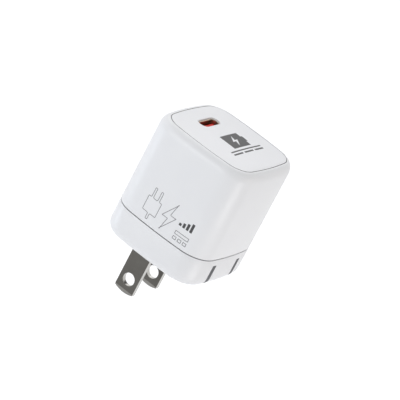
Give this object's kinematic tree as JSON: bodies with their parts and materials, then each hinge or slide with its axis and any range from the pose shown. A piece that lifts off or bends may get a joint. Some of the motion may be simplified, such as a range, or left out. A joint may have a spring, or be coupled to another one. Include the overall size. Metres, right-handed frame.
{
  "type": "usb-c wall charger",
  "caption": "Compact white cube wall charger with a USB-C port on top and two folding plug blades under its base.",
  "frame": {"origin": "middle of the base face that meets the outlet", "axes": "+Z out of the outlet towards the port; +X towards the side that the blades fold to; +Y along the hinge"},
  "size_m": [0.0332, 0.033, 0.0543],
  "materials": {
    "white_polycarbonate": "satin",
    "dark_nickel": "satin dark nickel plating",
    "grey_nylon": "moulded",
    "screw_steel": "zinc plated",
    "spring_bronze": "bright",
    "port_steel": "bright",
    "orange_plastic": "moulded",
    "contact_gold": "gold plated",
    "black_plastic": "moulded",
    "board_laminate": "solder mask",
    "ferrite": "ground",
    "copper_wire": "enamelled",
    "yellow_tape": "film",
    "capacitor_can": "sleeved",
    "disc_ceramic": "dipped",
    "fuse_ceramic": "glazed",
    "spreader_aluminium": "rolled",
    "pad_silicone": "soft",
    "insulation_film": "film",
    "chip_ceramic": "sintered"
  },
  "bodies": {
    "charger": {"housing": "white_polycarbonate", "top_plate": "white_polycarbonate", "base_cap": "white_polycarbonate", "rotor_retainer": "grey_nylon", "retainer_screws": "screw_steel", "contact_spring_front": "spring_bronze", "contact_spring_rear": "spring_bronze", "usb_shell": "port_steel", "usb_tongue": "orange_plastic", "usb_contacts": "contact_gold", "usb_insulator": "black_plastic", "main_board": "board_laminate", "secondary_board": "board_laminate", "transformer_core_lower": "ferrite", "transformer_core_upper": "ferrite", "transformer_bobbin": "black_plastic", "transformer_primary": "copper_wire", "transformer_secondary": "copper_wire", "transformer_tape": "yellow_tape", "bulk_capacitor_1": "capacitor_can", "bulk_capacitor_2": "capacitor_can", "output_capacitors": "capacitor_can", "y_capacitor": "disc_ceramic", "fuse": "fuse_ceramic", "choke_core": "ferrite", "choke_windings": "copper_wire", "bridge_rectifier": "black_plastic", "power_switch": "black_plastic", "sync_rectifier": "black_plastic", "pd_controller": "black_plastic", "optocoupler": "black_plastic", "heat_spreader": "spreader_aluminium", "thermal_pad": "pad_silicone", "insulation_sheet": "insulation_film", "chip_resistors": "chip_ceramic", "chip_capacitors": "chip_ceramic"},
    "plug": {"plug_blade_front": "dark_nickel", "plug_blade_rear": "dark_nickel", "blade_rotor": "grey_nylon"}
  },
  "joints": [
    {"name": "blade_fold", "type": "hinge", "parent": "charger", "child": "plug", "pos_m": [-0.0041, 0, 0.0038], "axis": [0, -1, 0], "range_deg": [0, 90]}
  ]
}
